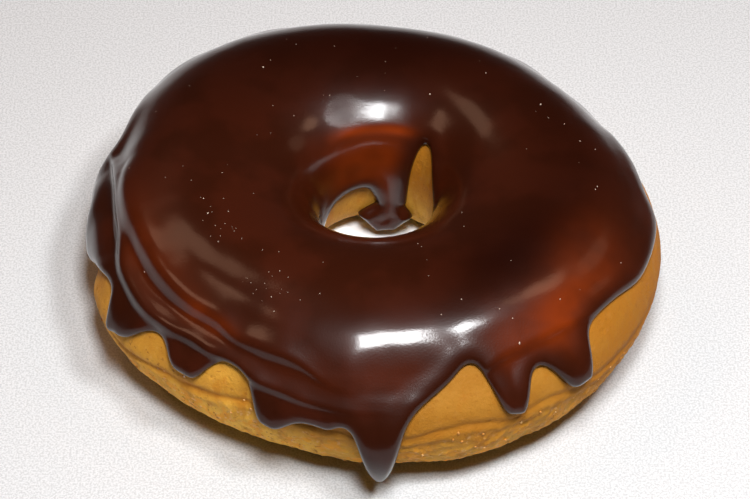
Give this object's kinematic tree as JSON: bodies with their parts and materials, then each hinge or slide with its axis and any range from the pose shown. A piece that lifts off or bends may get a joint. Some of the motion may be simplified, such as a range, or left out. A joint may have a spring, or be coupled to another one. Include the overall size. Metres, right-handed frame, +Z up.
{
  "type": "iced ring doughnut",
  "caption": "Ring doughnut of golden dough under a poured coat of dark glossy icing that runs down its side and its hole in uneven drips.",
  "frame": {"origin": "centre of the bounding box's footprint, on the surface that the doughnut rests on", "axes": "+Z up; -Y is the side with the longest drip; the hole's axis is vertical, a little off the centre"},
  "size_m": [0.0976, 0.0964, 0.0294],
  "materials": {
    "dough": "fried dough, golden with a browner band and crumbs below the crease, dull",
    "icing": "dark chocolate icing, glossy, redder where it is thin"
  },
  "bodies": {
    "root": {"dough": "dough", "icing": "icing"}
  },
  "joints": []
}
